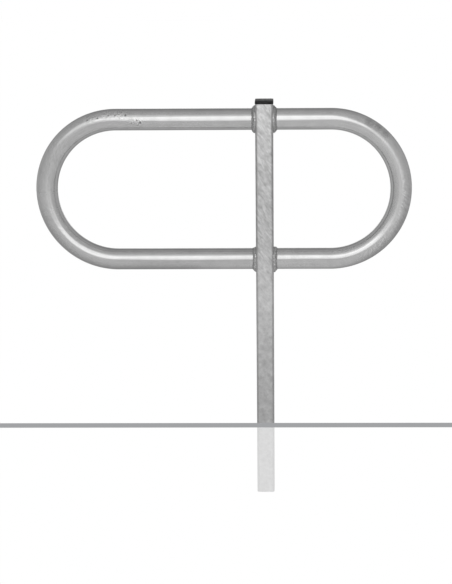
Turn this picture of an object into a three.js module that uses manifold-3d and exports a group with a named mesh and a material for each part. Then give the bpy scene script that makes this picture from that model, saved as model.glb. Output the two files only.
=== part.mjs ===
// Hoop bike rack: a galvanised rectangular post with a stadium-shaped hoop of round tube, set in the ground.
// Millimetres, +Z up, X along the hoop. The origin is on the post's axis, at ground level.
import * as THREE from 'three';
import { mergeVertices } from 'three/addons/utils/BufferGeometryUtils.js';
import Module from 'manifold-3d';

const wasm = await Module();
wasm.setup();

// Post: rectangular hollow section, the narrow side to the front
const postWidth = 40;
const postDepth = 60;
const postWall = 3;
const postOuterRadius = 6;
const postInnerRadius = 3;
const postRise = 35.5;
const buriedDepth = 165;

// Hoop: two bent tubes, one on each side of the post
const tubeDiameter = 48.3;
const tubeWall = 2.6;
const bendRadius = 159;
const hoopHeight = 548;
const longReach = 516;
const shortReach = 332;

// Holes through the post's side walls, behind the tube ends, that let the zinc through
const ventDiameter = 20;

// Weld: fillet seam round each tube end
const weldLegOnTube = 9;
const weldLegOnPost = 7.3;
const weldToe = 0.9;
const weldCrown = 1.1;
const weldFrontInset = 1.2;

// Cap: plastic plug in the post's top
const capOverhang = 0.7;
const capHeight = 7.2;
const capShoulderHeight = 2;
const capShoulderInset = 1.1;
const shankLength = 22;
const shankWall = 1.8;
const finReach = 2.6;
const finThickness = 1.2;
const finPitch = 4.6;
const finFirstDrop = 3.5;
const finCount = 4;

// Clearances and cuts
const seamGap = 0.3;
const cutOverrun = 5;

// Smoothness of the faceted round faces
const tubeHalfFacets = 16;
const bendSteps = 24;
const cornerHalfFacets = 3;
const ventFacets = 24;
const weldFacets = 48;
const crownFacets = 3;
const shoulderFacets = 3;

// Values worked out from the sizes above
const tubeRadius = tubeDiameter / 2;
const railHeights = { top: hoopHeight + bendRadius, bottom: hoopHeight - bendRadius };
const postTop = railHeights.top + postRise;
const sideFace = postWidth / 2;
const boreWidth = postWidth - postWall * 2;
const boreDepth = postDepth - postWall * 2;
const sleeveWidth = boreWidth - (seamGap + finReach) * 2;
const sleeveDepth = boreDepth - (seamGap + finReach) * 2;

const zincedSteel = new THREE.MeshStandardMaterial({ color: 0xa9abad, roughness: 0.42, metalness: 0.85 });
const zincedWeld = new THREE.MeshStandardMaterial({ color: 0x9a9c9e, roughness: 0.55, metalness: 0.8 });
const blackPlastic = new THREE.MeshStandardMaterial({ color: 0x232323, roughness: 0.5, metalness: 0 });

// Solids that are joined and cut
function toSolid(geometry) {
  const bare = geometry.clone();
  bare.deleteAttribute('normal');
  bare.deleteAttribute('uv');
  const merged = mergeVertices(bare);
  return new wasm.Manifold(new wasm.Mesh({
    numProp: 3,
    vertProperties: merged.attributes.position.array,
    triVerts: new Uint32Array(merged.index.array),
  }));
}

function toGeometry(solid) {
  const cut = solid.getMesh();
  const geometry = new THREE.BufferGeometry();
  geometry.setAttribute('position', new THREE.BufferAttribute(cut.vertProperties, 3));
  geometry.setIndex(new THREE.BufferAttribute(cut.triVerts, 1));
  const faceted = geometry.toNonIndexed();
  faceted.computeVertexNormals();
  return faceted;
}

// Outlines
function roundedRectangle(Outline, width, depth, radius) {
  const x = width / 2 - radius;
  const y = depth / 2 - radius;
  const outline = new Outline();
  outline.moveTo(x + radius, -y);
  outline.lineTo(x + radius, y);
  outline.absarc(x, y, radius, 0, Math.PI / 2);
  outline.lineTo(-x, y + radius);
  outline.absarc(-x, y, radius, Math.PI / 2, Math.PI);
  outline.lineTo(-x - radius, -y);
  outline.absarc(-x, -y, radius, Math.PI, Math.PI * 3 / 2);
  outline.lineTo(x, -y - radius);
  outline.absarc(x, -y, radius, Math.PI * 3 / 2, Math.PI * 2);
  return outline;
}

// A bar or sleeve with a rounded rectangular section that stands from one height to another
function rectangularBar(width, depth, radius, low, high, bevel = { bevelEnabled: false }) {
  const section = roundedRectangle(THREE.Shape, width, depth, radius);
  const options = { depth: high - low, curveSegments: cornerHalfFacets, ...bevel };
  return new THREE.ExtrudeGeometry(section, options).translate(0, 0, low);
}

// Post
function ventCutter(height) {
  const reach = postWidth + cutOverrun * 2;
  const cutter = new THREE.CylinderGeometry(ventDiameter / 2, ventDiameter / 2, reach, ventFacets);
  return cutter.rotateZ(Math.PI / 2).translate(0, 0, height);
}

function postGeometry() {
  const section = roundedRectangle(THREE.Shape, postWidth, postDepth, postOuterRadius);
  section.holes.push(roundedRectangle(THREE.Path, boreWidth, boreDepth, postInnerRadius));
  const options = { depth: buriedDepth + postTop, curveSegments: cornerHalfFacets, bevelEnabled: false };
  let post = toSolid(new THREE.ExtrudeGeometry(section, options).translate(0, 0, -buriedDepth));
  for (const height of Object.values(railHeights)) post = post.subtract(toSolid(ventCutter(height)));
  return toGeometry(post);
}

// Hoop tubes: the centreline of a U bend in the XZ plane, from the post along +X, round and back below.
// One step follows each leg and the others divide the bend evenly, so that rings fall on the joins.
class UBend extends THREE.Curve {
  constructor(start, bendCentre) {
    super();
    this.start = start;
    this.bendCentre = bendCentre;
    this.steps = bendSteps + 2;
  }

  bendAngle(u) {
    return THREE.MathUtils.clamp(u * this.steps - 1, 0, bendSteps) / bendSteps * Math.PI;
  }

  getPointAt(u, target = new THREE.Vector3()) {
    const angle = this.bendAngle(u);
    const nearestEnd = Math.min(u, 1 - u) * this.steps;
    const alongLeg = THREE.MathUtils.lerp(this.start, this.bendCentre, Math.min(nearestEnd, 1));
    return target.set(alongLeg + bendRadius * Math.sin(angle), 0, hoopHeight + bendRadius * Math.cos(angle));
  }

  getTangentAt(u, target = new THREE.Vector3()) {
    const angle = this.bendAngle(u);
    return target.set(Math.cos(angle), 0, -Math.sin(angle));
  }
}

function bentTubeGeometry(reach) {
  const section = new THREE.Shape().absarc(0, 0, tubeRadius, 0, Math.PI * 2);
  section.holes.push(new THREE.Path().absarc(0, 0, tubeRadius - tubeWall, 0, Math.PI * 2));
  const extrudePath = new UBend(sideFace + seamGap, reach - tubeRadius - bendRadius);
  const options = { steps: extrudePath.steps, extrudePath, curveSegments: tubeHalfFacets };
  return new THREE.ExtrudeGeometry(section, options);
}

// Weld seams: a crowned mound round the tube's end, cut out where the tube and the post are.
// Its leg on the post narrows towards the front and back, where the post's side face ends.
function moundProfile() {
  const seat = tubeRadius + seamGap;
  const toe = new THREE.Vector2(seat + weldToe, sideFace + weldLegOnTube);
  const heel = new THREE.Vector2(seat + weldLegOnPost, sideFace + seamGap);
  const slope = heel.clone().sub(toe);
  const outward = new THREE.Vector2(-slope.y, slope.x).normalize();
  const behindCorner = sideFace - postOuterRadius;
  const points = [new THREE.Vector2(0, behindCorner), heel.clone().setY(behindCorner)];
  for (let i = 0; i <= crownFacets; i += 1) {
    const share = i / crownFacets;
    const crown = weldCrown * Math.sin(share * Math.PI);
    points.push(heel.clone().lerp(toe, share).addScaledVector(outward, crown));
  }
  points.push(new THREE.Vector2(0, toe.y));
  return points;
}

function moundGeometry() {
  const seat = tubeRadius + seamGap;
  const frontLeg = postDepth / 2 - weldFrontInset - seat;
  const mound = new THREE.LatheGeometry(moundProfile(), weldFacets);
  const position = mound.getAttribute('position');
  for (let i = 0; i < position.count; i += 1) {
    const radius = Math.hypot(position.getX(i), position.getZ(i));
    if (radius > seat) {
      const towardsFront = Math.abs(position.getX(i)) / radius;
      const leg = THREE.MathUtils.lerp(weldLegOnPost, frontLeg, towardsFront ** 2);
      const narrowed = seat + (radius - seat) * leg / weldLegOnPost;
      position.setX(i, position.getX(i) * narrowed / radius);
      position.setZ(i, position.getZ(i) * narrowed / radius);
    }
  }
  return mound.rotateZ(-Math.PI / 2);
}

function weldGeometry() {
  const tubeReach = (sideFace + weldLegOnTube + cutOverrun) * 2;
  const tube = new THREE.CylinderGeometry(tubeRadius + seamGap, tubeRadius + seamGap, tubeReach, weldFacets);
  const width = postWidth + seamGap * 2;
  const depth = postDepth + seamGap * 2;
  const reach = tubeRadius + weldLegOnPost + cutOverrun;
  const post = rectangularBar(width, depth, postOuterRadius + seamGap, -reach, reach);
  const mound = toSolid(moundGeometry());
  return toGeometry(mound.subtract(toSolid(tube.rotateZ(Math.PI / 2))).subtract(toSolid(post)));
}

// Cap
function capHead() {
  const width = postWidth + capOverhang * 2;
  const depth = postDepth + capOverhang * 2;
  const low = postTop + seamGap;
  const high = low + capHeight;
  const shoulder = {
    bevelEnabled: true,
    bevelThickness: capShoulderHeight,
    bevelSize: capShoulderInset,
    bevelOffset: -capShoulderInset,
    bevelSegments: shoulderFacets,
  };
  const radius = postOuterRadius + capOverhang;
  const head = toSolid(rectangularBar(width, depth, radius, low, high - capShoulderHeight, shoulder));
  const belowHeight = capShoulderHeight + cutOverrun;
  const below = new THREE.BoxGeometry(width + cutOverrun, depth + cutOverrun, belowHeight);
  return head.subtract(toSolid(below.translate(0, 0, low - belowHeight / 2)));
}

function capShank() {
  const low = postTop - shankLength;
  const middleOfHead = postTop + seamGap + capHeight / 2;
  let shank = toSolid(rectangularBar(sleeveWidth, sleeveDepth, postInnerRadius, low, middleOfHead));
  for (let i = 0; i < finCount; i += 1) {
    const top = postTop - finFirstDrop - finPitch * i;
    const width = sleeveWidth + finReach * 2;
    const depth = sleeveDepth + finReach * 2;
    shank = shank.add(toSolid(rectangularBar(width, depth, postInnerRadius, top - finThickness, top)));
  }
  return shank;
}

function capBore() {
  const width = sleeveWidth - shankWall * 2;
  const depth = sleeveDepth - shankWall * 2;
  const low = postTop - shankLength - cutOverrun;
  return toSolid(rectangularBar(width, depth, postInnerRadius - shankWall / 2, low, postTop));
}

function capGeometry() {
  return toGeometry(capHead().add(capShank()).subtract(capBore()));
}

// Assembly
function named(name, geometry, material) {
  const mesh = new THREE.Mesh(geometry, material);
  mesh.name = name;
  return mesh;
}

const rack = new THREE.Group();
rack.add(named('post', postGeometry(), zincedSteel));
rack.add(named('post_cap', capGeometry(), blackPlastic));

for (const [side, reach, turn] of [['short', shortReach, 0], ['long', longReach, Math.PI]]) {
  const half = new THREE.Group();
  half.rotation.z = turn;
  half.add(named(`${side}_hoop`, bentTubeGeometry(reach), zincedSteel));
  for (const [rail, height] of Object.entries(railHeights)) {
    const weld = named(`weld_${side}_${rail}`, weldGeometry(), zincedWeld);
    weld.position.z = height;
    half.add(weld);
  }
  rack.add(half);
}

export default rack;
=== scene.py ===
# Hoop bike rack: a galvanised post with a hoop of bent tube on each side of it, set in the ground.
# Metres, +Z up, X along the hoop, the viewer at -Y. The origin is on the post's axis at ground level.
import math

import bmesh
import bpy
from mathutils import Matrix, Vector, noise


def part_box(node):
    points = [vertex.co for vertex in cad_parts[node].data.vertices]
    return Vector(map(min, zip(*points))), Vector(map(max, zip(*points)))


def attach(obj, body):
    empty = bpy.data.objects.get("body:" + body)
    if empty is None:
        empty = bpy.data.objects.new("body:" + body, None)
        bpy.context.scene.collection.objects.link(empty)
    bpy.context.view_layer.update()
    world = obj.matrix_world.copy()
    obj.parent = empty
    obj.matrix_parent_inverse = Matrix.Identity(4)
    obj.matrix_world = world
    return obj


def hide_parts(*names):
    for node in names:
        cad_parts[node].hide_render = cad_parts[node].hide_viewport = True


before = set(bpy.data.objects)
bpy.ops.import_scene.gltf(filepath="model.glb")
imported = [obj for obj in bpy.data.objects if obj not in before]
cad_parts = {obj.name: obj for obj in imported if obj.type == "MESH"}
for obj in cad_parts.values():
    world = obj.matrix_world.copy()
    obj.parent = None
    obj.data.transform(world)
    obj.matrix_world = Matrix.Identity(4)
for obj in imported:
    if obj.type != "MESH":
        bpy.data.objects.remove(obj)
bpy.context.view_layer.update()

# Post: rectangular hollow section of steel with round corners, sawn square at both ends and open
# below. It is hot-dip galvanised, with holes behind the tube ends that let the zinc run through.
post_low, post_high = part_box("post")
rail_heights = {rail: sum(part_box(f"weld_long_{rail}"), Vector()).z / 2 for rail in ("top", "bottom")}
POST_WALL = 0.003
POST_CORNER = 0.006
CORNER_STEPS = 8
ZINC_HOLE_RADIUS = 0.010
HOLE_CUTS = 5
SAWN_EDGE = 0.0006
SMOOTH_BELOW = math.radians(35)
SQUARE_ABOVE = math.radians(60)
SQUARELY = 0.99
TINY = 1e-6


def zinc_hole(shell, side, height):
    """A round hole in one side wall of the post: the square patch round it is cut out and rounded."""
    centre = Vector((side, 0, height))

    def patch():
        on_side = [f for f in shell.faces if f.normal.x * side > 0]
        return min(on_side, key=lambda f: (f.calc_center_median() - centre).length)

    for offset, normal in ((-1, (0, 0, 1)), (1, (0, 0, 1)), (-1, (0, 1, 0)), (1, (0, 1, 0))):
        plane = centre + Vector(normal) * offset * ZINC_HOLE_RADIUS
        wall = [f for f in shell.faces if f.normal.x * side > SQUARELY * abs(side)]
        bounds = dict.fromkeys([*(e for f in wall for e in f.edges), *(v for f in wall for v in f.verts)])
        bmesh.ops.bisect_plane(shell, geom=[*wall, *bounds], plane_co=plane, plane_no=normal, dist=TINY)
    bmesh.ops.subdivide_edges(shell, edges=list(patch().edges), cuts=HOLE_CUTS)
    hole = patch()
    for vertex in hole.verts:
        spoke = vertex.co - centre
        vertex.co = centre + spoke.normalized() * ZINC_HOLE_RADIUS
    bmesh.ops.delete(shell, geom=[hole], context="FACES_ONLY")


def finish(shell, name, material, slot, *nodes):
    """Turns a bmesh into the named piece that stands for CAD nodes, with hard edges kept sharp."""
    if shell.calc_volume(signed=True) < 0:
        # A closed shell encloses a negative volume when its faces all point inwards.
        bmesh.ops.reverse_faces(shell, faces=shell.faces)
    for face in shell.faces:
        face.smooth = True
    for edge in shell.edges:
        edge.smooth = edge.calc_face_angle(0) < SMOOTH_BELOW
    mesh = bpy.data.meshes.new(name)
    shell.to_mesh(mesh)
    shell.free()
    mesh.materials.append(material)
    piece = bpy.data.objects.new(name, mesh)
    bpy.context.scene.collection.objects.link(piece)
    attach(piece, "root")
    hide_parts(*nodes)


def node_adder(tree):
    """A function that adds a node to a tree; its inputs are linked where they are given as sockets."""
    def add(kind, inputs=(), **settings):
        node = tree.nodes.new(kind)
        for setting, value in settings.items():
            setattr(node, setting, value)
        for socket, value in dict(inputs).items():
            if isinstance(value, bpy.types.NodeSocket):
                tree.links.new(value, node.inputs[socket])
            else:
                node.inputs[socket].default_value = value
        return node

    return add


def shader(name, metallic):
    """A new node material, its surface shader, and the function that adds a node to it."""
    material = bpy.data.materials.new(name)
    material.use_nodes = True
    surface = material.node_tree.nodes["Principled BSDF"]
    surface.inputs["Metallic"].default_value = metallic
    return material, surface, node_adder(material.node_tree)


def dress(add, surface, tone, rough, height, strength, depth):
    """Gives a surface its tone, its roughness and its bumps."""
    links = surface.id_data.links
    links.new(tone, surface.inputs["Base Color"])
    links.new(rough, surface.inputs["Roughness"])
    bump = add("ShaderNodeBump", {"Strength": strength, "Distance": depth, "Height": height})
    links.new(bump.outputs["Normal"], surface.inputs["Normal"])


def ramp(add, factor, stops):
    """A colour ramp from (place, grey) stops."""
    node = add("ShaderNodeValToRGB", {"Fac": factor})
    elements = node.color_ramp.elements
    while len(elements) < len(stops):
        elements.new(0.5)
    for element, (place, grey) in zip(elements, stops):
        element.position = place
        element.color = (grey, grey, grey, 1)
    return node.outputs["Color"]


def reckon(add, operation, *values):
    """A sum on values, such as MULTIPLY or MAXIMUM."""
    return add("ShaderNodeMath", dict(enumerate(values)), operation=operation).outputs["Value"]


def fitted(add, value, low, high, start=0.0, end=1.0, kind="LINEAR"):
    """A value between low and high, fitted between start and end."""
    fit = add("ShaderNodeMapRange", {"Value": value, "From Min": low, "From Max": high,
                                     "To Min": start, "To Max": end}, interpolation_type=kind)
    return fit.outputs["Result"]


def eased(add, *span):
    """The same, rising and ending softly."""
    return fitted(add, *span, kind="SMOOTHSTEP")


def mingled(add, share, first, second):
    """Two values, the first alone at a share of 0 and the second alone at 1."""
    mix = add("ShaderNodeMix", {"Factor": share, "A": first, "B": second}, data_type="FLOAT")
    return mix.outputs["Result"]


def toned(add, share, tone, other, blend_type="MIX"):
    """A tone with a share of another, which is a tone too or a plain grey."""
    colour = other if isinstance(other, bpy.types.NodeSocket) else (other, other, other, 1)
    mix = add("ShaderNodeMix", {"Factor": share, "A": tone, "B": colour}, data_type="RGBA",
              blend_type=blend_type)
    return mix.outputs["Result"]


def speckles(add, place, scale, detail, rough=0.5, distortion=0.0):
    """Noise over a place on a piece."""
    return add("ShaderNodeTexNoise", {"Vector": place, "Scale": scale, "Detail": detail,
                                      "Roughness": rough, "Distortion": distortion}).outputs["Fac"]


STROKE_TILT = math.radians(-54)
STROKE_SCALE, HAIR_SCALE, MOTTLE_SCALE = (48, 120, 200), (120, 260, 520), 90
HAIR_SHARE, MOTTLE_SHARE = 0.35, 0.25
STROKES_FROM, STROKES_TO = 0.24, 0.44
FEWEST_STROKES = 0.15
POST_TONES = ((0.36, 0.56), (0.5, 0.77), (0.58, 0.90), (0.66, 1.0))
# Painted reflection: lighter and darker bands up the post's height.
POST_PAINTED_LIGHT_LEVELS = ((0.0, 0.78), (0.18, 0.86), (0.30, 0.98), (0.42, 0.84), (0.52, 0.74), (0.62, 0.75),
               (0.74, 0.83))
CALM_SPAN = (0.3, 0.7)
POST_ROUGH = (0.54, 0.46)
POST_BUMPS = (0.3, 0.0006)
CORNER_FADE_X, CORNER_FADE_Y = 0.003, 0.004
CORNER_SHADE_SHARE, CORNER_SHADE_GREY = 0.5, 0.44


def corner_shade_mask(add, place):
    """Where the post's round corners are, for painted shade that darkens them."""
    size = add("ShaderNodeVectorMath", {0: place}, operation="ABSOLUTE").outputs["Vector"]
    apart = add("ShaderNodeSeparateXYZ", {"Vector": size})
    across = eased(add, apart.outputs["X"], post_high.x - POST_CORNER, post_high.x - CORNER_FADE_X)
    deep = eased(add, apart.outputs["Y"], post_high.y - POST_CORNER, post_high.y - CORNER_FADE_Y)
    return reckon(add, "MULTIPLY", reckon(add, "MULTIPLY", across, deep), CORNER_SHADE_SHARE)


def post_zinc():
    """Galvanised steel with short oblique strokes where the zinc was wiped while it was hot; painted
    reflection bands up its height and painted shade on its round corners.
    """
    material, surface, add = shader("post_zinc", 1.0)
    place = add("ShaderNodeTexCoord").outputs["Object"]
    turned = add("ShaderNodeMapping", {"Vector": place, "Rotation": (0, STROKE_TILT, 0)}).outputs["Vector"]
    broad = add("ShaderNodeMapping", {"Vector": turned, "Scale": STROKE_SCALE}).outputs["Vector"]
    fine = add("ShaderNodeMapping", {"Vector": turned, "Scale": HAIR_SCALE}).outputs["Vector"]
    strokes = speckles(add, broad, 1.0, 3.0, 0.6, 0.5)
    streaks = mingled(add, HAIR_SHARE, strokes, speckles(add, fine, 1.0, 2.0))
    mottle = speckles(add, place, MOTTLE_SCALE, 4.0, 0.6)
    wiped = mingled(add, MOTTLE_SHARE, streaks, mottle)
    calm = fitted(add, mottle, 0.0, 1.0, *CALM_SPAN)
    height = add("ShaderNodeSeparateXYZ", {"Vector": place}).outputs["Z"]
    upper = eased(add, height, STROKES_FROM, STROKES_TO, FEWEST_STROKES, 1.0)
    blend = mingled(add, upper, calm, wiped)
    # Painted reflection: the tone is made lighter and darker in bands up the post, standing in for reflected
    # light on its face.
    tone = toned(add, 1.0, ramp(add, blend, POST_TONES), ramp(add, height, POST_PAINTED_LIGHT_LEVELS), "MULTIPLY")
    # Painted shade: the round corners are darkened towards a grey.
    tone = toned(add, corner_shade_mask(add, place), tone, CORNER_SHADE_GREY)
    dress(add, surface, tone, fitted(add, blend, 0.3, 0.7, *POST_ROUGH), blend, *POST_BUMPS)
    return material


post = bmesh.new()
size = post_high - post_low
middle = (post_high + post_low) / 2
bmesh.ops.create_cube(post, size=1, matrix=Matrix.Translation(middle) @ Matrix.Diagonal((*size, 1)))
bmesh.ops.delete(post, geom=[f for f in post.faces if abs(f.normal.z) > 0.5], context="FACES_ONLY")
corners = [e for e in post.edges if abs(e.verts[0].co.z - e.verts[1].co.z) > POST_CORNER]
bmesh.ops.bevel(post, geom=corners, offset=POST_CORNER, segments=CORNER_STEPS, profile=0.5,
                affect="EDGES", material=-1)
for side in (post_low.x, post_high.x):
    for height in rail_heights.values():
        zinc_hole(post, side, height)
bmesh.ops.recalc_face_normals(post, faces=post.faces)
bmesh.ops.solidify(post, geom=post.faces[:] + post.edges[:] + post.verts[:], thickness=POST_WALL)
rims = [e for e in post.edges if e.calc_face_angle(0) > SQUARE_ABOVE
        and abs(e.verts[0].co.z - e.verts[1].co.z) < TINY
        and min(abs(e.verts[0].co.z - post_low.z), abs(e.verts[0].co.z - post_high.z)) < TINY]
bmesh.ops.bevel(post, geom=rims, offset=SAWN_EDGE, segments=2, profile=0.5, affect="EDGES", material=-1)
finish(post, "galvanised_post", post_zinc(), "zinc_steel", "post")

# Hoop: two round tubes of steel, each bent once through half a circle, butted on a side of the post
# and galvanised with it. The zinc lies in shallow waves, and in faint lines along the tubes.
hoop_low, hoop_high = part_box("short_hoop")
TUBE_WALL = 0.0026
BEND_RADIUS = 0.159
tube_radius = (hoop_high.y - hoop_low.y) / 2
hoop_middle = (rail_heights["top"] + rail_heights["bottom"]) / 2
TUBE_FACETS = 72
BEND_STEPS = 110
LEG_PITCH = 0.0045
WAVE_DEPTH = 0.00022
WAVES_ALONG, WAVES_ACROSS = 14, 40


def run_along(point, side, bend_centre):
    """Where a point of the tube lies once the tube is straightened: along it, across it, outwards."""
    x = point.x * side - bend_centre
    z = point.z - hoop_middle
    if x > 0:
        return Vector((bend_centre + BEND_RADIUS * math.atan2(x, z), point.y, math.hypot(x, z) - BEND_RADIUS))
    if z > 0:
        return Vector((bend_centre + x, point.y, z - BEND_RADIUS))
    return Vector((bend_centre + BEND_RADIUS * math.pi - x, point.y, -z - BEND_RADIUS))


def from_run(run, side, bend_centre):
    """The reverse: the place in the rack of a point on the straightened tube."""
    angle = min(max((run.x - bend_centre) / BEND_RADIUS, 0), math.pi)
    rest = run.x - bend_centre - angle * BEND_RADIUS
    reach = BEND_RADIUS + run.z
    x = bend_centre + reach * math.sin(angle) + rest * math.cos(angle)
    return Vector((x * side, run.y, hoop_middle + reach * math.cos(angle) - rest * math.sin(angle)))


def hoop_half(name, side, material):
    """One bent tube: a ring drawn along its upper leg, spun round the bend and drawn back below."""
    node = f"{name}_hoop"
    low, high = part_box(node)
    start = min(abs(low.x), abs(high.x))
    bend_centre = max(abs(low.x), abs(high.x)) - tube_radius - BEND_RADIUS
    tube = bmesh.new()
    across = Matrix.Translation((start * side, 0, rail_heights["top"])) @ Matrix.Rotation(math.pi / 2, 4, "Y")
    bmesh.ops.create_circle(tube, segments=TUBE_FACETS, radius=tube_radius, matrix=across)
    steps = round((bend_centre - start) / LEG_PITCH)
    stride = Vector(((bend_centre - start) / steps * side, 0, 0))

    def draw(edges, step):
        for _ in range(steps):
            drawn = bmesh.ops.extrude_edge_only(tube, edges=edges)["geom"]
            moved = {v for v in drawn if isinstance(v, bmesh.types.BMVert)}
            bmesh.ops.translate(tube, verts=list(moved), vec=step)
            edges = [e for e in drawn if isinstance(e, bmesh.types.BMEdge) and moved.issuperset(e.verts)]
        return edges

    ring = draw(tube.edges[:], stride)
    ring += dict.fromkeys(v for e in ring for v in e.verts)
    bent = bmesh.ops.spin(tube, geom=ring, cent=(bend_centre * side, 0, hoop_middle), axis=(0, side, 0),
                          angle=math.pi, steps=BEND_STEPS)["geom_last"]
    draw([e for e in bent if isinstance(e, bmesh.types.BMEdge)], -stride)
    bmesh.ops.recalc_face_normals(tube, faces=tube.faces)
    for vertex in tube.verts:
        run = run_along(vertex.co, side, bend_centre)
        wave = noise.noise(Vector((run.x * WAVES_ALONG, run.y * WAVES_ACROSS, run.z * WAVES_ACROSS + side)))
        inwards = 1 - WAVE_DEPTH * (0.5 + 0.5 * wave) / tube_radius
        vertex.co = from_run(Vector((run.x, run.y * inwards, run.z * inwards)), side, bend_centre)
    bmesh.ops.solidify(tube, geom=tube.faces[:] + tube.edges[:] + tube.verts[:], thickness=TUBE_WALL)
    straightened = tube.verts.layers.float_vector.new("run")
    for vertex in tube.verts:
        vertex[straightened] = run_along(vertex.co, side, bend_centre)
    finish(tube, f"{name}_half_hoop", material, "zinc_steel", node)


LINE_SCALE, CLOUD_SCALE = (9, 240, 240), 38
CLOUD_SHARE = 0.55
DARKEST, LIGHTEST = 0.94, 1.05
TUBE_RELIEF = 0.35
TUBE_ROUGH = (0.20, 0.14)
TUBE_BUMPS = (0.5, 0.0005)


def tube_zinc(name, level, marks):
    """Galvanised steel with fine lines along the tube and a faint mottle; marks adds what is local."""
    material, surface, add = shader(f"{name}_tube_zinc", 1.0)
    run = add("ShaderNodeAttribute", attribute_name="run").outputs["Vector"]
    drawn = add("ShaderNodeMapping", {"Vector": run, "Scale": LINE_SCALE}).outputs["Vector"]
    lines = speckles(add, drawn, 1.0, 2.0, 0.6)
    blend = mingled(add, CLOUD_SHARE, lines, speckles(add, run, CLOUD_SCALE, 4.0))
    tone = ramp(add, blend, ((0.36, level * DARKEST), (0.5, level), (0.64, level * LIGHTEST)))
    height = reckon(add, "MULTIPLY", blend, TUBE_RELIEF)
    rough = fitted(add, blend, 0.35, 0.65, *TUBE_ROUGH)
    tone, height, rough = marks(add, run, tone, height, rough)
    dress(add, surface, tone, rough, height, *TUBE_BUMPS)
    return material


def on_front(along, angle):
    """The place on the straightened tube that lies at an angle above the middle of its front."""
    turn = math.radians(angle)
    return along, -tube_radius * math.cos(turn), tube_radius * math.sin(turn)


def spots(add, run, places, core):
    """A mask of soft round spots: (along, angle, radius) each, full within a share of the radius."""
    mask = 0.0
    for along, angle, radius in places:
        near = add("ShaderNodeVectorMath", {0: run, 1: on_front(along, angle)}, operation="DISTANCE")
        spot = eased(add, near.outputs["Value"], radius * core, radius, 1.0, 0.0)
        mask = reckon(add, "MAXIMUM", spot, mask)
    return mask


def between(add, place, start, end, soft):
    """A mask that is full from one place to another and fades on both sides of them."""
    rise = eased(add, place, start - soft, start + soft)
    fall = eased(add, place, end + soft, end - soft)
    return reckon(add, "MULTIPLY", rise, fall)


def brush_marks(add, run, skew, grain):
    """Noise drawn out across the tube in marks of a size, turned by degrees towards its length."""
    turned = add("ShaderNodeMapping", {"Vector": run, "Rotation": (0, math.radians(skew), 0),
                                       "Scale": grain}, vector_type="TEXTURE").outputs["Vector"]
    return speckles(add, turned, 1.0, 3.0)


# Painted shade along the undersides of the lower bends and legs.
UNDERSIDE_SHADE_DEPTH = 0.020
UNDERSIDE_SHADE_SHARE, UNDERSIDE_SHADE_GREY = 0.62, 0.38


def underside_shade(add, along, outwards, tone, stretch):
    """Painted shade: darker zinc along the underside of the lower bend and leg."""
    under = eased(add, outwards, 0.0, UNDERSIDE_SHADE_DEPTH, 0.0, UNDERSIDE_SHADE_SHARE)
    share = reckon(add, "MULTIPLY", under, between(add, along, *stretch))
    return toned(add, share, tone, UNDERSIDE_SHADE_GREY)


# A spot is given as metres along the tube from the post's axis, degrees above the middle of its
# front, and a radius. A stretch along the tube, or a band outwards, is start, end and softness.
PITS = ((0.275, -11, 0.0032), (0.283, 2, 0.0015), (0.294, -14, 0.0014), (0.3075, 31, 0.0029),
        (0.331, 30, 0.0022), (0.345, 31, 0.0021), (0.3685, 25, 0.0024), (0.390, 31, 0.0028))
PIT_CORE, PIT_DEPTH, PIT_SHARE, PIT_GREY = 0.3, 2.4, 0.85, 0.2
SCABS = ((0.280, -14, 0.017), (0.294, -10, 0.015), (0.320, 42, 0.024), (0.350, 38, 0.022),
         (0.385, 36, 0.018))
SCAB_CORE, SCAB_SCALE, SCAB_SHARE = 0.1, 400, 0.65
SCAB_TONES = ((0.38, 0.44), (0.52, 0.67), (0.64, 0.86))
LONG_BRUSH = (-60, (0.005, 0.029, 0.016))
BRUSHED = (0.44, 0.72, 0.05)
BRUSHED_SHARE, BRUSHED_GREY, BRUSHED_RELIEF = 0.45, 0.74, 0.5
PAINTED_HIGHLIGHT_STRETCH, PAINTED_HIGHLIGHT_BAND, PAINTED_HIGHLIGHT_GREY = (0.66, 0.82, 0.03), (-0.0075, 0.0015, 0.002), 0.71
LONG_HAZED, LONG_HAZE = (0.565, 0.65, 0.03), 0.28
LONG_UNDERSIDE_SHADE = (0.63, 1.02, 0.06)


def long_marks(add, run, tone, height, rough):
    """Pits and scabs where the long tube was gripped, its bend brushed, then hazy, then given a painted
    highlight, and painted shade along its underside below.
    """
    parts = add("ShaderNodeSeparateXYZ", {"Vector": run})
    along, outwards = parts.outputs["X"], parts.outputs["Z"]
    pits = spots(add, run, PITS, PIT_CORE)
    scabs = spots(add, run, SCABS, SCAB_CORE)
    grain = speckles(add, run, SCAB_SCALE, 1.5)
    lumps = reckon(add, "MULTIPLY", scabs, fitted(add, grain, 0.42, 0.60))
    height = reckon(add, "ADD", lumps, height)
    height = reckon(add, "MULTIPLY_ADD", pits, -PIT_DEPTH, height)
    tone = toned(add, reckon(add, "MULTIPLY", scabs, SCAB_SHARE), tone, ramp(add, grain, SCAB_TONES))
    tone = toned(add, reckon(add, "MULTIPLY", pits, PIT_SHARE), tone, PIT_GREY)
    brush = fitted(add, brush_marks(add, run, *LONG_BRUSH), 0.42, 0.62, 0.0, BRUSHED_SHARE)
    brushed = reckon(add, "MULTIPLY", brush, between(add, along, *BRUSHED))
    tone = toned(add, brushed, tone, BRUSHED_GREY)
    height = reckon(add, "MULTIPLY_ADD", brushed, BRUSHED_RELIEF, height)
    # Painted highlight: the zinc is made lighter in a band where the highlight lies on the lower half of the
    # long bend.
    painted_highlight = reckon(add, "MULTIPLY", between(add, outwards, *PAINTED_HIGHLIGHT_BAND), between(add, along, *PAINTED_HIGHLIGHT_STRETCH))
    tone = toned(add, painted_highlight, tone, PAINTED_HIGHLIGHT_GREY)
    rough = mingled(add, between(add, along, *LONG_HAZED), rough, LONG_HAZE)
    return underside_shade(add, along, outwards, tone, LONG_UNDERSIDE_SHADE), height, rough


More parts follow.
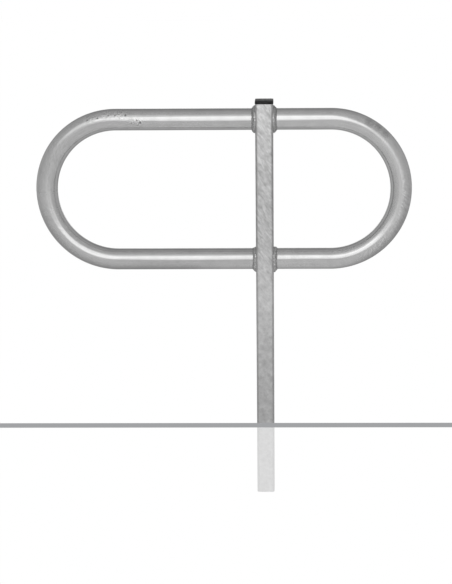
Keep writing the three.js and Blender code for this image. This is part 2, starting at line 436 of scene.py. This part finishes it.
SHORT_BRUSH = (30, (0.0045, 0.020, 0.020))
WIPED = (0.37, 0.56, 0.07)
WIPED_EDGE, WIPED_FEATHER, WIPED_WAVER = 0.0085, 0.004, 0.020
WIPED_TONES = ((0.38, 0.61), (0.62, 0.76))
STAINS = ((0.230, 40, 0.016), (0.250, 44, 0.014), (0.270, 46, 0.014))
STAIN_CORE, STAIN_SHARE, STAIN_GREY = 0.2, 0.9, 0.30
PAINTED_GLINT_BRUSH = (35, (0.0034, 0.012, 0.009))
PAINTED_GLINTS_ALONG, PAINTED_GLINT_BAND, PAINTED_GLINT_GREY = (0.37, 0.57, 0.03), (0.002, 0.009, 0.004), 0.92
SHORT_HAZED, SHORT_HAZE = (0.27, 0.52, 0.05), 0.34
HAZE_FROM, HAZE_FULL = -0.014, -0.003
DENT_SCALE, BRUSH_RELIEF, DENT_RELIEF = 110, 0.3, 0.9
SHORT_UNDERSIDE_SHADE = (0.43, 0.60, 0.06)


def short_marks(add, run, tone, height, rough):
    """Ragged brush marks, painted glints and haze on the outer side of the short tube's bend, stains, and
    painted shade along its underside below.
    """
    parts = add("ShaderNodeSeparateXYZ", {"Vector": run})
    along, outwards = parts.outputs["X"], parts.outputs["Z"]
    brush = brush_marks(add, run, *SHORT_BRUSH)
    edge = reckon(add, "MULTIPLY_ADD", brush, WIPED_WAVER, outwards)
    outer = eased(add, edge, WIPED_EDGE, WIPED_EDGE + WIPED_FEATHER)
    wiped = reckon(add, "MULTIPLY", outer, between(add, along, *WIPED))
    tone = toned(add, wiped, tone, ramp(add, brush, WIPED_TONES))
    stains = reckon(add, "MULTIPLY", spots(add, run, STAINS, STAIN_CORE), STAIN_SHARE)
    tone = toned(add, reckon(add, "MULTIPLY", stains, brush), tone, STAIN_GREY)
    # Painted glints: light flecks of zinc in a band along the outer edge of the bend's highlight.
    painted_glints = fitted(add, brush_marks(add, run, *PAINTED_GLINT_BRUSH), 0.50, 0.61)
    rim = reckon(add, "MULTIPLY", between(add, outwards, *PAINTED_GLINT_BAND), between(add, along, *PAINTED_GLINTS_ALONG))
    tone = toned(add, reckon(add, "MULTIPLY", painted_glints, rim), tone, PAINTED_GLINT_GREY)
    front = eased(add, outwards, HAZE_FROM, HAZE_FULL)
    hazy = reckon(add, "MULTIPLY", front, between(add, along, *SHORT_HAZED))
    rough = mingled(add, hazy, rough, SHORT_HAZE)
    dents = reckon(add, "MULTIPLY_ADD", brush, BRUSH_RELIEF, speckles(add, run, DENT_SCALE, 1.5))
    height = reckon(add, "MULTIPLY_ADD", reckon(add, "MULTIPLY", dents, hazy), DENT_RELIEF, height)
    return underside_shade(add, along, outwards, tone, SHORT_UNDERSIDE_SHADE), height, rough


LONG_GREY, SHORT_GREY = 0.652, 0.690
hoop_half("long", -1, tube_zinc("long", LONG_GREY, long_marks))
hoop_half("short", 1, tube_zinc("short", SHORT_GREY, short_marks))

# Welds: a fillet seam laid by hand round each tube end in short arcs, before galvanising. The zinc
# coats its ripples, so each seam keeps a wavy edge on the tube and a few bright spots.
weld_low, weld_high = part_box("weld_short_top")
LEG_ON_TUBE = weld_high.x - post_high.x
LEG_ON_POST = (weld_high.z - weld_low.z) / 2 - tube_radius
WELD_STEPS = 144
BEAD_POINTS = 12
FRONT_REACH, LEAST_FRONT = 0.0279, 0.1
JOIN_POWER = 24
WAVER_SCALE, SEED_STRIDE = 2.2, 7.3
TOE_WAVER, LEG_WAVER = 0.04, 0.07
RIPPLE_PITCH, RIPPLE_HEIGHT = 0.0024, 0.00022
RIPPLE_BOW, RIPPLE_WAVER = 2.0, 3
LUMP_HEIGHT, LUMP_SCALE = 0.0010, 260
FLAT_SHARE, FALL_SHARE = 0.28, 0.97
SIDE_FALL, FRONT_FALL = 0.3, 0.7
POST_CREASE = 0.24
TOE_CREASE_FROM, TOE_CREASE_FULL = 0.42, 0.9
TOE_CREASE, TOE_CREASE_WAVER = 0.8, 0.4
SINK = 0.0005


def post_side(y):
    """How far the post's side stands out at a place across its depth, round corner included."""
    past_flat = abs(y) - (post_high.y - POST_CORNER)
    if past_flat <= 0:
        return post_high.x
    return post_high.x - POST_CORNER + math.sqrt(max(POST_CORNER ** 2 - past_flat ** 2, 0))


def weld(name, side, rail, material, seed, crown, roughness, upper_leg, sag):
    """A ring of weld: its section is spun round the tube, then swollen, thinned and rippled.

    seed makes its waver its own, crown swells it, roughness raises its ripples and lumps, upper_leg
    is how much of its leg up the post is left, and sag rounds it below.
    """
    bead = bmesh.new()
    order = bead.verts.layers.int.new("order")
    crease_shade = bead.verts.layers.float.new("crease_shade")
    section = [bead.verts.new((i, 0, 0)) for i in range(BEAD_POINTS + 2)]
    edges = [bead.edges.new(pair) for pair in zip(section, section[1:] + section[:1])]
    for i, vertex in enumerate(section):
        vertex[order] = i
        vertex.co = (post_high.x + i * SINK, 0, tube_radius)
    bmesh.ops.spin(bead, geom=section + edges, cent=(0, 0, 0), axis=(1, 0, 0), angle=math.tau,
                   steps=WELD_STEPS, use_merge=True)
    for vertex in bead.verts:
        i = vertex[order]
        angle = math.atan2(vertex.co.z, vertex.co.y)
        front = abs(math.cos(angle))
        spoke = Vector((0, math.cos(angle), math.sin(angle)))
        wobble = noise.noise(spoke * WAVER_SCALE + Vector((seed * SEED_STRIDE, 0, 0)))
        above, below = max(spoke.z, 0), max(-spoke.z, 0)
        toe = post_high.x + LEG_ON_TUBE * (1 - TOE_WAVER + TOE_WAVER * wobble)
        leg = LEG_ON_POST * (1 - LEG_WAVER + LEG_WAVER * wobble) * (1 - (1 - upper_leg) * above)
        # Its outline on the post is round, and cut off softly towards the post's front and back.
        cut = FRONT_REACH / max(front, LEAST_FRONT)
        reach = ((tube_radius + leg) ** -JOIN_POWER + cut ** -JOIN_POWER) ** (-1 / JOIN_POWER)
        heel = post_side(front * reach) - SINK / 2
        vertex[crease_shade] = 1.0
        if i == 0:
            out, along = tube_radius - SINK * 2, post_high.x - SINK * 2
        elif i == BEAD_POINTS + 1:
            out, along = tube_radius - SINK * 2, toe
        else:
            share = (i - 1) / (BEAD_POINTS - 1)
            fall = min(max((share - FLAT_SHARE) / (FALL_SHARE - FLAT_SHARE), 0), 1)
            fall = fall * fall * (3 - 2 * fall)
            slope = share ** (1 + sag * below)
            drop = slope + (fall - slope) * (SIDE_FALL * (1 - sag * below) + FRONT_FALL * front ** 4)
            out = tube_radius - SINK / 2 + (reach - tube_radius + SINK / 2) * (1 - drop)
            along = heel + (toe - heel) * share
            middle = math.sin(share * math.pi)
            phase = (angle * tube_radius / RIPPLE_PITCH * math.tau + RIPPLE_BOW * middle
                     + RIPPLE_WAVER * wobble)
            place = Vector((along, spoke.y * out, spoke.z * out))
            lump = noise.noise(place * LUMP_SCALE + Vector((seed, 0, 0)))
            lift = middle * roughness * (RIPPLE_HEIGHT * math.sin(phase) + LUMP_HEIGHT * lump)
            out += lift + middle * crown
            along += lift / 2
            # Painted shade: the seam is darkened in the crease by the post and towards its toe on the tube.
            by_post = max(1 - share / POST_CREASE, 0)
            by_toe = min(max((share - TOE_CREASE_FROM) / (TOE_CREASE_FULL - TOE_CREASE_FROM), 0), 1)
            vertex[crease_shade] = max(by_post, by_toe * (TOE_CREASE + TOE_CREASE_WAVER * wobble))
        vertex.co = Vector((along * side, 0, rail_heights[rail])) + spoke * out
    bmesh.ops.recalc_face_normals(bead, faces=bead.faces)
    finish(bead, f"{name}_{rail}_weld_seam", material, "zinc_weld", f"weld_{name}_{rail}")


WELD_GRAIN_SCALE = 420
DARK_GRAINS, LIGHT_GRAINS = 0.8, 1.45
CREASE_SHADE_SHARE, CREASE_SHADE_GREY = 0.9, 0.31
WELD_ROUGH = (0.34, 0.2)
WELD_BUMPS = (0.35, 0.0005)


def weld_zinc(name, level):
    """Galvanised weld: a little darker and duller than the tube, with fine grains, and painted shade in its
    creases by the post and towards its toe.
    """
    material, surface, add = shader(f"{name}_weld_zinc", 1.0)
    place = add("ShaderNodeTexCoord").outputs["Object"]
    grain = speckles(add, place, WELD_GRAIN_SCALE, 3.0, 0.6)
    grained = ramp(add, grain, ((0.35, level * DARK_GRAINS), (0.52, level), (0.7, level * LIGHT_GRAINS)))
    crease_shade = add("ShaderNodeAttribute", attribute_name="crease_shade").outputs["Fac"]
    tone = toned(add, reckon(add, "MULTIPLY", crease_shade, CREASE_SHADE_SHARE), grained, CREASE_SHADE_GREY)
    dress(add, surface, tone, fitted(add, grain, 0.3, 0.7, *WELD_ROUGH), grain, *WELD_BUMPS)
    return material


UPPER_GREY, LOWER_GREY = 0.50, 0.56
upper_zinc, lower_zinc = weld_zinc("upper", UPPER_GREY), weld_zinc("lower", LOWER_GREY)
weld("long", -1, "top", upper_zinc, seed=0, crown=0.0002, roughness=1.5, upper_leg=1.0, sag=0.8)
weld("long", -1, "bottom", lower_zinc, seed=1, crown=-0.0004, roughness=0.9, upper_leg=0.55, sag=0.2)
weld("short", 1, "top", upper_zinc, seed=2, crown=0.0001, roughness=0.7, upper_leg=1.0, sag=0.9)
weld("short", 1, "bottom", lower_zinc, seed=3, crown=0.0001, roughness=1.9, upper_leg=0.5, sag=0.2)

# Cap: plug of black plastic pressed into the post's open top, moulded in one piece. Its flat head
# has a soft shoulder and a parting line, and its hollow shank grips the post's bore with four fins.
cap_low, cap_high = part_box("post_cap")
SEAM_GAP = 0.0003
SHANK_LENGTH = 0.022
SHANK_WALL = 0.0018
FIN_REACH = 0.0026
FIN_THICKNESS = 0.0012
FIN_PITCH = 0.0046
FIRST_FIN_DROP = 0.0035
FIN_COUNT = 4
SHOULDER = 0.0012
SHOULDER_ANGLES = (30, 60, 90)
PARTING_LINE = 0.00025
PARTING_HEIGHT = 0.0036
RIM_ROUND = 0.0005
RIM_STEP = RIM_ROUND * 0.3


def drawn_in(size, inset):
    """A width and a depth made smaller by an inset on every side."""
    return size - Vector((inset, inset)) * 2


def cap_levels():
    """The cap's outlines as (size, corner, height): down inside the shank, up outside it to the top."""
    head = (cap_high - cap_low).xy
    fin = drawn_in(drawn_in((post_high - post_low).xy, POST_WALL), SEAM_GAP)
    sleeve = drawn_in(fin, FIN_REACH)
    hollow = drawn_in(sleeve, SHANK_WALL)
    foot = post_high.z - SHANK_LENGTH
    inner_corner, outer_corner = POST_WALL, POST_CORNER + (head.x - post_high.x + post_low.x) / 2
    yield hollow, inner_corner / 2, post_high.z
    yield hollow, inner_corner / 2, foot
    yield sleeve, inner_corner, foot
    for i in reversed(range(FIN_COUNT)):
        top = post_high.z - FIRST_FIN_DROP - FIN_PITCH * i
        yield sleeve, inner_corner, top - FIN_THICKNESS
        yield fin, inner_corner, top - FIN_THICKNESS
        yield fin, inner_corner, top
        yield sleeve, inner_corner, top
    under = post_high.z + SEAM_GAP
    yield sleeve, inner_corner, under
    seam = under + PARTING_HEIGHT
    for inset, height in ((RIM_ROUND, under), (RIM_STEP, under + RIM_STEP), (0, under + RIM_ROUND),
                          (0, seam - PARTING_LINE), (PARTING_LINE, seam),
                          (PARTING_LINE, seam + PARTING_LINE), (PARTING_LINE, cap_high.z - SHOULDER)):
        yield drawn_in(head, inset), outer_corner - inset, height
    for angle in SHOULDER_ANGLES:
        turn = math.radians(angle)
        inset = PARTING_LINE + SHOULDER * (1 - math.cos(turn))
        yield drawn_in(head, inset), outer_corner - inset, cap_high.z - SHOULDER * (1 - math.sin(turn))


def lay_out(ring, quarter, spoke, size, corner, height):
    """Lays a ring of vertices out flat, as a rectangle with round corners."""
    inner = size / 2 - Vector((corner, corner))
    for vertex in ring:
        side, turn = vertex[quarter], vertex[spoke]
        vertex.co = (side.x * inner.x + turn.x * corner, side.y * inner.y + turn.y * corner, height)


CAP_GRAIN_SCALE, CAP_CLOUD_SCALE = 900, 60
BLACKS = ((0.3, 0.006), (0.7, 0.013))
DUST_AND_SHEEN_FROM, DUST_AND_SHEEN_FULL, DUST_AND_SHEEN_SHARE, DUST_AND_SHEEN_GREY = 0.7, 0.98, 0.9, 0.055
CAP_SHINE = 0.36
CAP_ROUGH = (0.36, 0.5)
CAP_BUMPS = (0.3, 0.0002)


def cap_plastic():
    """Black moulded plastic with a fine even grain, and a lighter grey on its flat top that is partly dust
    and partly a painted sheen.
    """
    material, surface, add = shader("cap_plastic", 0.0)
    surface.inputs["Specular IOR Level"].default_value = CAP_SHINE
    place = add("ShaderNodeTexCoord").outputs["Object"]
    grain = speckles(add, place, CAP_GRAIN_SCALE, 2.0)
    cloud = speckles(add, place, CAP_CLOUD_SCALE, 3.0)
    facing = add("ShaderNodeNewGeometry").outputs["Normal"]
    upward = add("ShaderNodeSeparateXYZ", {"Vector": facing}).outputs["Z"]
    # Painted sheen, partly dust: the upward-facing top is made a lighter grey.
    dust_and_sheen = eased(add, upward, DUST_AND_SHEEN_FROM, DUST_AND_SHEEN_FULL, 0.0, DUST_AND_SHEEN_SHARE)
    tone = toned(add, dust_and_sheen, ramp(add, cloud, BLACKS), DUST_AND_SHEEN_GREY)
    dress(add, surface, tone, fitted(add, cloud, 0.0, 1.0, *CAP_ROUGH), grain, *CAP_BUMPS)
    return material


cap = bmesh.new()
quarter = cap.verts.layers.float_vector.new("quarter")
spoke = cap.verts.layers.float_vector.new("spoke")
ring = bmesh.ops.create_circle(cap, segments=(CORNER_STEPS + 1) * 4, radius=1)["verts"]
for i, vertex in enumerate(ring):
    corner, step = divmod(i, CORNER_STEPS + 1)
    turn = math.radians(90 * (corner + step / CORNER_STEPS))
    vertex[quarter] = (1 if corner in (0, 3) else -1, 1 if corner < 2 else -1, 0)
    vertex[spoke] = (math.cos(turn), math.sin(turn), 0)
rim = cap.edges[:]
first, *others = cap_levels()
lay_out(ring, quarter, spoke, *first)
for level in others:
    drawn = bmesh.ops.extrude_edge_only(cap, edges=rim)["geom"]
    ring = {v for v in drawn if isinstance(v, bmesh.types.BMVert)}
    rim = [e for e in drawn if isinstance(e, bmesh.types.BMEdge) and ring.issuperset(e.verts)]
    lay_out(ring, quarter, spoke, *level)
bmesh.ops.holes_fill(cap, edges=cap.edges[:], sides=0)
bmesh.ops.recalc_face_normals(cap, faces=cap.faces)
finish(cap, "black_post_cap", cap_plastic(), "black_plastic", "post_cap")

# Ground: a pale floor that lets the buried end of the post show through faintly, and a thin grey
# line across the picture at ground level. Neither is part of the rack.
FLOOR_REACH = 30
FLOOR_WHITE, FLOOR_COVER = (1, 1, 1), 0.54
LINE_GREY, LINE_COVER = (0.361, 0.366, 0.376), 1.0
LINE_LENGTH, LINE_DEPTH, LINE_HEIGHT = 8, 0.0172, 0.0051


def bare_material(name):
    """A new node material with an empty tree, and the function that adds a node to it."""
    material = bpy.data.materials.new(name)
    material.use_nodes = True
    material.node_tree.nodes.clear()
    return material, node_adder(material.node_tree)


def plain_light(name, tone, cover):
    """A plain even tone that takes no shade, part of it see-through, and all of it from below."""
    material, add = bare_material(name)
    glow = add("ShaderNodeEmission", {"Color": (*tone, 1)}).outputs["Emission"]
    clear = add("ShaderNodeBsdfTransparent").outputs["BSDF"]
    from_below = add("ShaderNodeNewGeometry").outputs["Backfacing"]
    share = fitted(add, from_below, 0.0, 1.0, cover, 0.0)
    mix = add("ShaderNodeMixShader", {"Fac": share, 1: clear, 2: glow})
    add("ShaderNodeOutputMaterial", {"Surface": mix.outputs["Shader"]})
    return material


def scenery(name, shape, material):
    """A piece of the surroundings that only the camera sees."""
    mesh = bpy.data.meshes.new(name)
    shape.to_mesh(mesh)
    shape.free()
    mesh.materials.append(material)
    thing = bpy.data.objects.new(name, mesh)
    bpy.context.scene.collection.objects.link(thing)
    thing.visible_diffuse = thing.visible_glossy = thing.visible_shadow = thing.visible_transmission = False
    return thing


floor = bmesh.new()
bmesh.ops.create_grid(floor, x_segments=1, y_segments=1, size=FLOOR_REACH)
scenery("pale_floor", floor, plain_light("floor_white", FLOOR_WHITE, FLOOR_COVER))

line = bmesh.new()
line_middle = Vector((0, post_low.y - LINE_DEPTH / 2, LINE_HEIGHT / 2))
line_size = Matrix.Diagonal((LINE_LENGTH, LINE_DEPTH, LINE_HEIGHT, 1))
bmesh.ops.create_cube(line, size=1, matrix=Matrix.Translation(line_middle) @ line_size)
scenery("ground_line", line, plain_light("line_grey", LINE_GREY, LINE_COVER))

# Studio light: one broad soft box hung askew in front of the rack, with dimmer light spilt to its
# left, above it and low on its right, and a box behind the rack. The room is pale in front and
# darker behind, and the backdrop is plain white.
PANEL_REACH = 8
ROOM_TONES = ((0.0, 0.575), (0.5, 0.45), (1.0, 0.22))
ROOM_FLOOR = 0.10
ROOM_CORNERS, CORNERS_FROM, CORNERS_FULL = 0.22, 0.1, 0.6


def soft_panel(name, distance, radiance, centre, turn, across, upright):
    """A light wall at a distance towards the viewer; a negative distance puts it behind the rack.

    centre is its place across and up, turn is in degrees, anticlockwise as the viewer sees it, and
    across and upright are (half size, half feather) pairs.
    """
    material, add = bare_material(name)
    place = add("ShaderNodeTexCoord").outputs["Object"]
    turned = add("ShaderNodeMapping", {"Vector": place, "Location": (centre[0], 0, centre[1]),
                                       "Rotation": (0, math.radians(-turn), 0)}, vector_type="TEXTURE")
    axes = add("ShaderNodeSeparateXYZ", {"Vector": turned.outputs["Vector"]})
    strength = radiance
    for axis, (half_size, feather) in (("X", across), ("Z", upright)):
        far = reckon(add, "ABSOLUTE", axes.outputs[axis])
        fade = eased(add, far, half_size + feather, half_size - feather)
        strength = reckon(add, "MULTIPLY", fade, strength)
    glow = add("ShaderNodeEmission", {"Strength": strength}).outputs["Emission"]
    clear = add("ShaderNodeBsdfTransparent").outputs["BSDF"]
    both = add("ShaderNodeAddShader", {0: glow, 1: clear})
    add("ShaderNodeOutputMaterial", {"Surface": both.outputs["Shader"]})
    sheet = bmesh.new()
    stand = Matrix.Translation((0, -distance, 0)) @ Matrix.Rotation(math.pi / 2, 4, "X")
    bmesh.ops.create_grid(sheet, x_segments=1, y_segments=1, size=PANEL_REACH, matrix=stand)
    panel = scenery(name, sheet, material)
    panel.visible_camera = False
    panel.visible_glossy = panel.visible_diffuse = True


soft_panel("soft_box", distance=1.81, radiance=0.60, centre=(-0.06, 1.31), turn=32,
           across=(0.76, 0.06), upright=(0.69, 0.14))
soft_panel("left_band", distance=1.83, radiance=0.24, centre=(-1.38, 1.54), turn=-29,
           across=(0.60, 0.28), upright=(0.44, 0.10))
soft_panel("upper_spill", distance=1.85, radiance=0.30, centre=(-0.70, 2.15), turn=0,
           across=(1.0, 0.9), upright=(1.0, 0.9))
soft_panel("side_spill", distance=1.89, radiance=0.50, centre=(0.92, 0.60), turn=0,
           across=(0.34, 0.20), upright=(0.32, 0.20))
soft_panel("rear_box", distance=-2.20, radiance=0.75, centre=(0.0, 0.70), turn=0,
           across=(0.62, 0.22), upright=(0.42, 0.20))

world = bpy.data.worlds.new("studio")
bpy.context.scene.world = world
world.use_nodes = True
world.node_tree.nodes.clear()
add = node_adder(world.node_tree)
heading = add("ShaderNodeSeparateXYZ", {"Vector": add("ShaderNodeTexCoord").outputs["Generated"]})
sideways, backwards, upwards = (heading.outputs[axis] for axis in "XYZ")
room = ramp(add, fitted(add, backwards, -1.0, 1.0), ROOM_TONES)
lit = reckon(add, "ADD", room, fitted(add, upwards, -1.0, 0.0, ROOM_FLOOR, 0.0))
rear = eased(add, backwards, CORNERS_FROM, CORNERS_FULL, 0.0, ROOM_CORNERS)
tone = reckon(add, "MULTIPLY_ADD", reckon(add, "MULTIPLY", sideways, sideways), rear, lit)
seen = add("ShaderNodeLightPath").outputs["Is Camera Ray"]
dim = add("ShaderNodeBackground", {"Color": tone, "Strength": 1.0}).outputs["Background"]
white = add("ShaderNodeBackground", {"Color": (1, 1, 1, 1), "Strength": 1.0}).outputs["Background"]
backdrop = add("ShaderNodeMixShader", {"Fac": seen, 1: dim, 2: white})
add("ShaderNodeOutputWorld", {"Surface": backdrop.outputs["Shader"]})
bpy.context.scene.view_settings.view_transform = "Standard"

# Camera: three metres in front of the rack and a metre above the ground, a little to the right and
# looking slightly down through a long lens. The shift only sets the rack's place in the picture.
EYE = Vector((0.035, -3.000, 1.020))
PITCH, YAW, ROLL = 12.25, 0.87, -0.35
LENS = 82.81
SHIFT_X, SHIFT_Y = -0.0589, -0.0425
lens = bpy.data.cameras.new("viewer")
lens.lens = LENS
lens.shift_x, lens.shift_y = SHIFT_X, SHIFT_Y
viewer = bpy.data.objects.new("viewer", lens)
bpy.context.scene.collection.objects.link(viewer)
yawed, pitched, rolled = (Matrix.Rotation(math.radians(angle), 4, axis)
                          for angle, axis in ((YAW, "Z"), (90 - PITCH, "X"), (ROLL, "Z")))
viewer.matrix_world = Matrix.Translation(EYE) @ yawed @ pitched @ rolled
bpy.context.scene.camera = viewer
